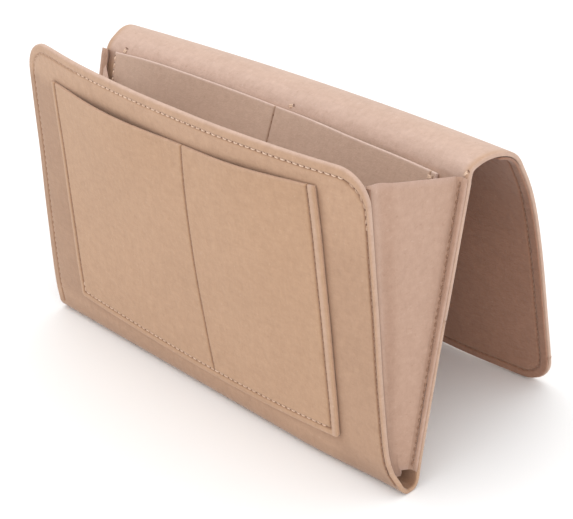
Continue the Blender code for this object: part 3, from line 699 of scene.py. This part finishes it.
def build_back_sheet():
    xs = line(RIDGE_HALF, RIDGE_HALF)
    u = xs / RIDGE_HALF
    rows = [back_at(u, s, -FELT) for s in np.linspace(SPLIT_S, TURN_START, 10)]
    rows += [over_at("turn", t, u, -FELT) for t in np.linspace(0, 1, 15)[1:]]
    rows += [over_at("ridge", t, u, -FELT) for t in np.linspace(0, 1, 20)[1:]]
    edge = [RIDGE_HALF - np.abs(xs)] * len(rows)
    end = FLAP_LEN - drop_at(xs, RIDGE_HALF, RIDGE_HALF, FLAP_CORNER, FLAP_CORNER)
    for d in np.concatenate([np.linspace(FLAP_LEN, 0.022, 26)[1:-1], INSETS[::-1]]):
        s = end * (1 - d / FLAP_LEN)
        rows.append(over_at("flap", s, u, -FELT))
        edge.append(outline(xs, s, RIDGE_HALF, RIDGE_HALF, FLAP_LEN, FLAP_CORNER, FLAP_CORNER))
    grid = np.array(rows)
    middle = grid[:, grid.shape[1] // 2]
    along = np.concatenate([[0], np.cumsum(np.linalg.norm(np.diff(middle, axis=0), axis=1))])
    # painted light: a paler, pinker band over the turn and the ridge, where the light from above falls
    turn = TURN_START - SPLIT_S + 0.004
    ridge = smooth((along - turn + 0.014) / 0.014) * smooth((turn + 0.120 - along) / 0.060)
    ridge_painted_light = -ridge * (0.68 + 0.34 * np.exp(-((along - turn - 0.004) / 0.014) ** 2))
    ridge_painted_light = ridge_painted_light[:, None] * smooth((1 - np.abs(u)) / 0.04)[None, :]
    return shell("main_sheet_back", grid, FELT, (0, -1, 0), MAIN, edge=np.array(edge), row=2,
                 shade=(1.0, ridge_painted_light))


def over_flap(u, s, off):
    return over_at("flap", s, u, off)


def build_flap():
    ob = build_back_sheet()
    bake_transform(ob)
    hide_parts("back_panel", "top_bend", "tuck_flap")
    half, high, off = RIDGE_HALF - 0.0002, FLAP_LEN - LINING_END, GAP + LINING_FELT
    seam = (half - FLAP_STITCH, half - FLAP_STITCH, high - FLAP_STITCH,
            FLAP_CORNER - FLAP_STITCH, FLAP_CORNER - FLAP_STITCH)
    xs = line(half, half)
    u, inside = xs / RIDGE_HALF, half - np.abs(xs)
    arc, span = RIDGE_R * (FLAP_TOP - RIDGE_LEAN), FLAP_LEN - LINING_TOP
    rows, edge = [], []
    for t in np.linspace(LINING_RISE, 1, 12)[:-1]:
        rows.append(over_at("ridge", t, u, off))
        edge.append(np.minimum(inside, (t - LINING_RISE) * arc))
    for s in (0.0, 0.004):
        rows.append(over_flap(u, s, off))
        edge.append(inside)
    dist = [np.abs(inside - FLAP_STITCH)] * len(rows)
    end = high - drop_at(xs, half, half, FLAP_CORNER, FLAP_CORNER)
    for d in np.concatenate([np.linspace(span, 0.022, 26), INSETS[::-1][1:]]):
        s = LINING_TOP + (end - LINING_TOP) * (1 - d / span)
        rows.append(over_flap(u, s, off))
        edge.append(outline(xs, s, half, half, high, FLAP_CORNER, FLAP_CORNER))
        dist.append(np.abs(outline(xs, s, *seam)))
    # painted shade, darker up under the ridge
    dist, share = np.array(dist), np.arange(len(rows)) / len(rows)
    tone = 0.36 * (1 - smooth((share - 0.10) / 0.75))[:, None] + 0 * dist
    lining = shell("flap_lining_felt", np.array(rows), LINING_FELT, (0, -1, 0), LINING_SHADED_FELT,
                   edge=np.array(edge), press=groove(dist), shade=(0.45, tone), edge_highlight=0.0)
    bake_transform(lining)
    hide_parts("flap_lining")
    path = round_path(seam[0], seam[1], LINING_TOP + 0.003, *seam[2:])
    p, n = surface_path(over_flap, path[:, 0] / RIDGE_HALF, path[:, 1], off + IN_GROOVE)
    stitch_row("flap_stitches", p, n, SHADED_THREAD, "flap", ("flap_edge_seam",))


# pockets

def pocket_share(s):
    return (s - POCKET_LOW) / (POCKET_TOP - POCKET_LOW)


def pocket_low(v):
    return POCKET_LOW + POCKET_RISE * v ** 2


def pocket_high(v):
    return POCKET_TOP - POCKET_SAG * np.cos(0.5 * math.pi * np.minimum(np.abs(v), 1))


def pocket_shadow(x, s):
    """Contact shade on the front panel along the right edge of the pocket."""
    share = pocket_share(s)
    out = x - POCKET_R * mix(1, TOP_SHARE_R, np.maximum(share, 0) ** TAPER)
    near = 0.42 * np.exp(-(np.maximum(out, 0) / 0.0030) ** 2)
    return near * smooth(share / 0.03) * smooth((1 - share) / 0.03)


def pocket_at(v, s, off):
    """The front pocket's outer face; v runs from -1 to 1 with the centre seam at 0."""
    v, s = np.broadcast_arrays(np.asarray(v, float), np.asarray(s, float))
    share = pocket_share(s)
    split = SPLIT + SPLIT_BOW * (2 * share - 1) ** 2
    taper = np.maximum(share, 0) ** TAPER
    left, right = -POCKET_L * mix(1, TOP_SHARE_L, taper), POCKET_R * mix(1, TOP_SHARE_R, taper)
    x = np.where(v < 0, split + (left - split) * -v, split + (right - split) * v)
    most = np.where(v < 0, GAPE_L, GAPE_R)
    gape = most * np.maximum(share, 0) ** 2 * np.sin(math.pi * np.minimum(np.abs(v), 1)) ** 2
    return front_at(x / front_half(x, s), s, GAP + gape + POCKET_FELT + off)


def pouch_positions(left, right, split):
    """Across positions from -left to right, close at the edges, their seams and the middle seam."""
    near = np.array([-0.003, -0.0016, -0.001, -0.0005, 0, 0.0005, 0.001, 0.0016, 0.003])
    xs = set(np.round(line(left, right, 0.007, POUCH_INSETS), 6))
    return np.array(sorted(xs | set(np.round(split + near, 6))))


def pouch_shares(height, count):
    """Shares up a pocket, close at its ends."""
    e = POUCH_INSETS / height
    return np.concatenate([e, np.linspace(e[-1], 1 - e[-1], count)[1:-1], 1 - e[::-1]])


def build_front_pocket():
    xs = pouch_positions(POCKET_L, POCKET_R, 0.0)
    v = np.where(xs < 0, xs / POCKET_L, xs / POCKET_R)
    low = pocket_low(v) + drop_at(xs, POCKET_L, POCKET_R, POCKET_CORNER, POCKET_CORNER)
    high = pocket_high(v)
    sides = np.where(xs < 0, POCKET_L + xs, POCKET_R - xs)
    rows, dist, edge = [], [], []
    for t in pouch_shares(0.17, 24):
        s = low + (high - low) * t
        rows.append(pocket_at(v, s, 0.0))
        rim = np.minimum(sides - np.where(v > 0, POCKET_STITCH_R, POCKET_STITCH_L),
                         s - pocket_low(v) - POCKET_STITCH)
        dist.append(np.minimum(np.abs(rim), np.where(rim > 0, np.abs(xs), 1.0)))
        edge.append(np.minimum(np.minimum(sides, s - low), high - s))
    # painted highlight on the strip past the right seam, where the felt turns up to the light, and painted
    # shade where it turns down
    dist, past = np.array(dist), xs - POCKET_R + POCKET_STITCH_R
    lit = 0.55 * smooth((past - 0.0008) / 0.0010) * smooth((0.0058 - past) / 0.0032)
    strip = (0.16 * smooth((past - 0.0040) / 0.0020) - lit)[None, :] + 0 * dist
    ob = shell("front_pocket_felt", np.array(rows), POCKET_FELT, (0, -1, 0), POCKET, "front",
               edge=np.array(edge), press=groove(dist), shade=(1.0, strip), edge_highlight=0.4)
    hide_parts("front_pocket")
    # seam down the left side, along the foot and up the right side
    a, b, count = 1 - POCKET_STITCH_L / POCKET_L, 1 - POCKET_STITCH_R / POCKET_R, 85
    up = np.linspace(POCKET_TOP - 0.0015, POCKET_LOW + POCKET_RISE + POCKET_STITCH, count)
    over = np.linspace(-a, b, 130)[1:-1]
    vs = np.concatenate([np.full(count, -a), over, np.full(count, b)])
    ss = np.concatenate([up, pocket_low(over) + POCKET_STITCH, up[::-1]])
    p, n = surface_path(pocket_at, vs, ss, IN_GROOVE)
    seam = ("pocket_edge_seam",)
    stitch_row("pocket_left_stitches", p[:80], n[:80], SHADED_THREAD, "front", seam, lift=0.0)
    stitch_row("pocket_low_stitches", p[80:-count], n[80:-count], THREAD, "front", seam, holes=0.7)
    stitch_row("pocket_right_stitches", p[-count:], n[-count:], SHADED_THREAD, "front", seam,
               lift=0.0, holes=1.0)
    s = np.linspace(POCKET_LOW + POCKET_STITCH + 0.001, POCKET_TOP - POCKET_SAG - 0.002, 90)
    p, n = surface_path(pocket_at, 0.0, s, IN_GROOVE)
    stitch_row("pocket_centre_stitches", p, n, SHADED_THREAD, "front", ("pocket_centre_seam",), lift=0.0)


def inner_top(x):
    return np.interp(x, INNER_TOP_X, INNER_TOP_S)


def inner_at(x, s, off):
    """The inner pocket's front face at x, off out from it."""
    x, s = np.broadcast_arrays(np.asarray(x, float), np.asarray(s, float))
    up = np.maximum(0, (s - INNER_LOW) / (INNER_TOP - INNER_LOW))
    left = (x - INNER_L) / (INNER_SPLIT - INNER_L)
    right = (x - INNER_SPLIT) / (INNER_R - INNER_SPLIT)
    across = np.clip(np.where(x < INNER_SPLIT, left, right), 0, 1)
    gape = INNER_GAPE * up ** 2 * np.sin(math.pi * across) ** 2
    return back_at(x / back_half(x, s), s, -FELT - GAP - gape - POCKET_FELT - off)


def build_inner_pocket():
    xs = pouch_positions(-INNER_L, INNER_R, INNER_SPLIT)
    high = inner_top(xs)
    sides = np.minimum(xs - INNER_L, INNER_R - xs)
    seams = np.minimum(np.abs(INNER_R - xs - POCKET_STITCH), np.abs(xs - INNER_SPLIT))
    rows, edge = [], []
    for t in pouch_shares(0.16, 22):
        s = INNER_LOW + (high - INNER_LOW) * t
        rows.append(inner_at(xs, s, 0.0))
        edge.append(np.minimum(sides, np.minimum(s - INNER_LOW, high - s)))
    ob = shell("inner_pocket_felt", np.array(rows), POCKET_FELT, (0, -1, 0), INNER_LIT_FELT, "back",
               edge=np.array(edge), press=groove(np.array([seams] * len(rows)), INNER_GROOVE), edge_highlight=0.35)
    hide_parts("inner_pocket")
    # the left seam is sewn over the edge, a little unevenly
    x = INNER_L + 0.0009
    s = np.linspace(INNER_LOW + 0.004, inner_top(x) - 0.002, 90)
    p, n = surface_path(inner_at, x + 0.0004 * np.sin(np.arange(90) * 1.9), s, ON_FELT)
    stitch_row("inner_left_stitches", p, n, THREAD, "back", ("inner_left_seam",), pitch=0.0052,
               radius=0.00048, lift=0.6, holes=1.2)
    for name, x in (("inner_centre", INNER_SPLIT), ("inner_right", INNER_R - POCKET_STITCH)):
        s = np.linspace(INNER_LOW + 0.004, inner_top(x) - 0.002, 90)
        p, n = surface_path(inner_at, x, s, IN_GROOVE)
        stitch_row(name + "_stitches", p, n, SHADED_THREAD, "back", (name + "_seam",))


# gussets

def side_end(hand):
    """Upper end of a gusset at the back; the left one ends lower."""
    return SIDE_TOP_B - (LEFT_END if hand < 0 else 0.0)


def fillet(corner, hand, across):
    """Points round a gusset's corner, from its flange to its web."""
    turns = [math.pi / 2 * k / 4 for k in range(5)]
    return [corner + np.array([hand * FILLET * (1 - math.sin(a)), 0, 0])
            + across * FILLET * (1 - math.cos(a)) for a in turns]


def web_row(hand, t, one, two):
    """Points across a gusset's web from one to two, at share t up it."""
    row = []
    for v in np.linspace(0, 1, 30):
        # the web's lower edge hangs down at its front third
        hang = 0.0050 * (1 - smooth((v - 0.30) / 0.09)) * (1 - smooth(t / 0.07)) * smooth(v / 0.06)
        p = mix(one, two, v) - np.array([0, 0, hang])
        if hand < 0:
            fold = math.sin(math.pi * v ** 2) ** 1.2
            inward, down = VALLEY * t ** 1.5 * fold, DIP * t ** 4 * fold
        else:
            inward = 0.0020 * math.exp(-((v - 0.16) / 0.09) ** 2) * smooth(t * 1.5) * smooth(v * 9)
            inward -= 0.0010 * math.sin(math.pi * v) * math.sin(math.pi * t)
            down = 0.0
        row.append(p - np.array([hand * inward, 0, down]))
    return row


def side_rows(hand):
    """Outer side points of a gusset: front flange, web and back flange."""
    off = -FELT - GAP - SIDE_FELT
    front, web, back = [], [], []
    for t in np.linspace(0, 1, SIDE_STEPS):
        sf, sb = mix(SIDE_LOW_F, SIDE_TOP_F, t), mix(SIDE_LOW_B, SIDE_TOP_B, t)
        fh, bh = float(front_half(hand, sf)), float(back_half(hand, sb))
        inset = mix(BACK_INSET_FOOT, BACK_INSET, t)
        near = front_at(hand * (1 - WEB_INSET / fh), sf, off)
        far = back_at(hand * (1 - inset / bh), sb, off)
        across = (far - near) / np.linalg.norm(far - near)
        row = [front_at(hand * (1 - (0.3 + 0.7 * k) * WEB_INSET / fh), sf, off) for k in FLANGE_SHARES]
        front.append(row + fillet(near, hand, across))
        row = [back_at(hand * (1 - k * inset / bh), sb, off) for k in FLANGE_SHARES[::-1]]
        back.append(fillet(far, hand, -across)[::-1] + row)
        lower = back_at(hand, mix(SIDE_LOW_B, side_end(hand), t), off) - back_at(hand, sb, off)
        web.append(web_row(hand, t, front[-1][-1], back[-1][0] + lower))
    return [settle(np.array(rows)) for rows in (front, web, back)]


def build_gusset(side, hand):
    front, web, back = side_rows(hand)
    ts = np.linspace(0, 1, SIDE_STEPS)
    ends = np.minimum(ts, 1 - ts)[:, None] * 0.175
    pieces = []
    for part, g, where in (("front_flange", front, "front"), ("web", web, None),
                           ("back_flange", back, "back")):
        run = np.concatenate([[0], np.cumsum(np.linalg.norm(np.diff(g[20], axis=0), axis=1))])
        # painted shade: the front flange shaded all over, the back flange most by the web, the web darker
        # beside the front flange and at the back seam; the cut edges get a faint painted highlight
        if part == "front_flange":
            across, toward, tone = run, (hand * 0.3, 1, 0), np.full(run.shape, 0.9)
        elif part == "back_flange":
            across, toward = run[-1] - run, (hand * 0.3, -1, 0)
            tone = 0.30 - 0.22 * smooth(run / run[-1] * 1.6 - 0.5)
        else:
            across, toward, v = np.ones(run.shape), (hand, 0, 0), np.linspace(0, 1, len(run))
            tone = 0.34 * np.exp(-(v / 0.05) ** 2) + 0.16 * np.exp(-((v - 1) / 0.02) ** 2)
        ob = shell(f"gusset_{side}_{part}", g, SIDE_FELT, toward, SIDE, where,
                   edge=np.minimum(across[None, :], ends), shade=(1.0, tone[None, :]), edge_highlight=0.2)
        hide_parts(f"gusset_{side}")
        pieces.append(ob)
    webbing = pieces[1]
    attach(webbing, "back")
    anchor = back_at(1.0, 0.02, -FELT - GAP - SIDE_FELT - FILLET)
    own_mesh(webbing)


def flange_at(u, s, off):
    """The inner face of a gusset's back flange."""
    return back_at(u, s, -FELT - GAP - SIDE_FELT - off)


def stitch_flange(side, hand):
    s = np.linspace(SIDE_LOW_B + 0.003, side_end(hand) - 0.003, 90)
    wob = 0.0003 * np.sin(np.arange(90) * 2.3) * np.sin(np.arange(90) * 0.7)
    inset = mix(BACK_INSET_FOOT, BACK_INSET, s / SIDE_TOP_B) - FILLET + 0.0006 + wob
    p, n = surface_path(flange_at, hand * (1 - inset / back_half(hand, s)), s, ON_FELT)
    stitch_row(f"back_{side}_stitches", p, n, SHADED_THREAD, "back", (f"back_{side}_seam",), pitch=0.0046,
               length=0.0038, radius=0.00050, lift=0.7, holes=1.1)


def tack(name, at, x, s, lean, body, node, material=THREAD, count=3):
    """A short bar of backstitching with dark caps of painted shade for needle holes beside it."""
    p = at(x, s, 0.0)
    dx, ds = at(x + 1e-3, s, 0.0) - p, at(x, s + 1e-3, 0.0) - p
    n = np.cross(dx, ds)
    n *= np.sign(np.dot(n, (0, -1, 0.4))) / np.linalg.norm(n)
    dx, ds = dx / np.linalg.norm(dx), ds / np.linalg.norm(ds)
    along = dx * math.cos(lean) + ds * math.sin(lean)
    side = np.cross(n, along)
    verts, faces = [], []
    for k in range(count):
        middle = p + side * 0.0007 * (k - (count - 1) / 2)
        bend = along + side * RNG.normal(0, 0.12)
        length = 0.0034 * RNG.uniform(0.8, 1.15)
        add_tube(verts, faces, capsule_rings(middle - bend * length / 2, middle + bend * length / 2, n,
                                             0.00042, 0.9))
    ob = mesh_object(name, verts, faces, material, body)
    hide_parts(node)
    pits = [(p + along * 0.0028 + side * d, n, side) for d in (-0.0006, 0.0, 0.0006)]
    pit_row(name + "_holes", pits, body, (node,))


def back_inner(x, s, off):
    """The back panel's inner face at x."""
    return back_at(x / back_half(x, s), s, -FELT - off)


build_front_sheet()
build_flap()
build_front_pocket()
build_inner_pocket()
for side, hand in (("left", -1), ("right", 1)):
    build_gusset(side, hand)
    stitch_flange(side, hand)
tack("tack_inner_left", back_inner, -0.1455, 0.1850, 1.2, "back", "inner_left_seam")
tack("tack_inner_centre", back_inner, 0.0090, 0.1850, 0.5, "back", "inner_centre_seam")
tack("tack_inner_right", inner_at, 0.1350, 0.1765, 0.1, "back", "inner_right_seam")
tack("tack_fold_right", back_inner, 0.1590, 0.0040, 0.4, "back", "back_right_seam", MID_THREAD, count=2)
tack("tack_back_right", back_inner, 0.1600, 0.1856, 0.9, "back", "back_right_seam", count=2)


# floor, light and camera

WHITE = (1, 1, 1, 1)
FLOOR_REACH = 6.0
AIM = (0, 0.05, 0.1)
# camera: turned to the right, raised and rolled, in degrees; place along its right, up and back
AZIMUTH, ELEVATION, ROLL = (math.radians(v) for v in (47.06, 30.09, -3.59))
CAMERA_RIGHT, CAMERA_UP, CAMERA_BACK = 0.04738, 0.08419, 0.89929
# focal length and picture width in pixels
FOCAL, PICTURE, SENSOR = 1335.9, 573, 36.0


def add_floor():
    me = bpy.data.meshes.new("floor")
    r = FLOOR_REACH
    me.from_pydata([(-r, -r, 0), (r, -r, 0), (r, r, 0), (-r, r, 0)], [], [(0, 1, 2, 3)])
    floor = bpy.data.objects.new("floor", me)
    bpy.context.scene.collection.objects.link(floor)
    ma, _ = new_material("floor", {"Base Color": (0.96, 0.96, 0.96, 1), "Roughness": 0.9,
                                   "Specular IOR Level": 0.0})
    me.materials.append(ma)


def add_light(name, location, size, energy):
    data = bpy.data.lights.new(name, "AREA")
    data.shape, data.size, data.energy = "SQUARE", size, energy
    ob = bpy.data.objects.new(name, data)
    ob.location = location
    ob.rotation_euler = (Vector(AIM) - Vector(location)).to_track_quat("-Z", "Y").to_euler()
    bpy.context.scene.collection.objects.link(ob)


def add_world():
    """White behind the bag, and white light from all round."""
    world = bpy.data.worlds.new("studio")
    bpy.context.scene.world = world
    world.use_nodes = True
    nodes, links = world.node_tree.nodes, world.node_tree.links
    nodes.clear()
    out = nodes.new("ShaderNodeOutputWorld")
    switch = nodes.new("ShaderNodeMixShader")
    path = nodes.new("ShaderNodeLightPath")
    links.new(path.outputs["Is Camera Ray"], switch.inputs["Fac"])
    for k in (1, 2):
        sky = nodes.new("ShaderNodeBackground")
        sky.inputs["Color"].default_value = WHITE
        sky.inputs["Strength"].default_value = 1.0
        links.new(sky.outputs["Background"], switch.inputs[k])
    links.new(switch.outputs["Shader"], out.inputs["Surface"])


def add_camera():
    back = Vector((math.sin(AZIMUTH) * math.cos(ELEVATION), -math.cos(AZIMUTH) * math.cos(ELEVATION),
                   math.sin(ELEVATION)))
    right = Vector((math.cos(AZIMUTH), math.sin(AZIMUTH), 0))
    up = back.cross(right)
    r = right * math.cos(ROLL) + up * math.sin(ROLL)
    u = up * math.cos(ROLL) - right * math.sin(ROLL)
    data = bpy.data.cameras.new("camera")
    data.sensor_width = SENSOR
    data.lens = FOCAL * SENSOR / PICTURE
    data.clip_end = 20
    cam = bpy.data.objects.new("camera", data)
    place_at = r * CAMERA_RIGHT + u * CAMERA_UP + back * CAMERA_BACK
    cam.matrix_world = Matrix.Translation(place_at) @ Matrix((r, u, back)).transposed().to_4x4()
    bpy.context.scene.collection.objects.link(cam)
    bpy.context.scene.camera = cam


bpy.context.scene.view_settings.view_transform = "Standard"
add_floor()
add_light("key", (-0.5, -1.3, 2.0), 1.8, 6.3)
add_light("fill", (1.6, -0.7, 1.3), 1.6, 4.4)
add_light("top", (0.0, 0.3, 2.2), 1.8, 11.5)
add_world()
add_camera()
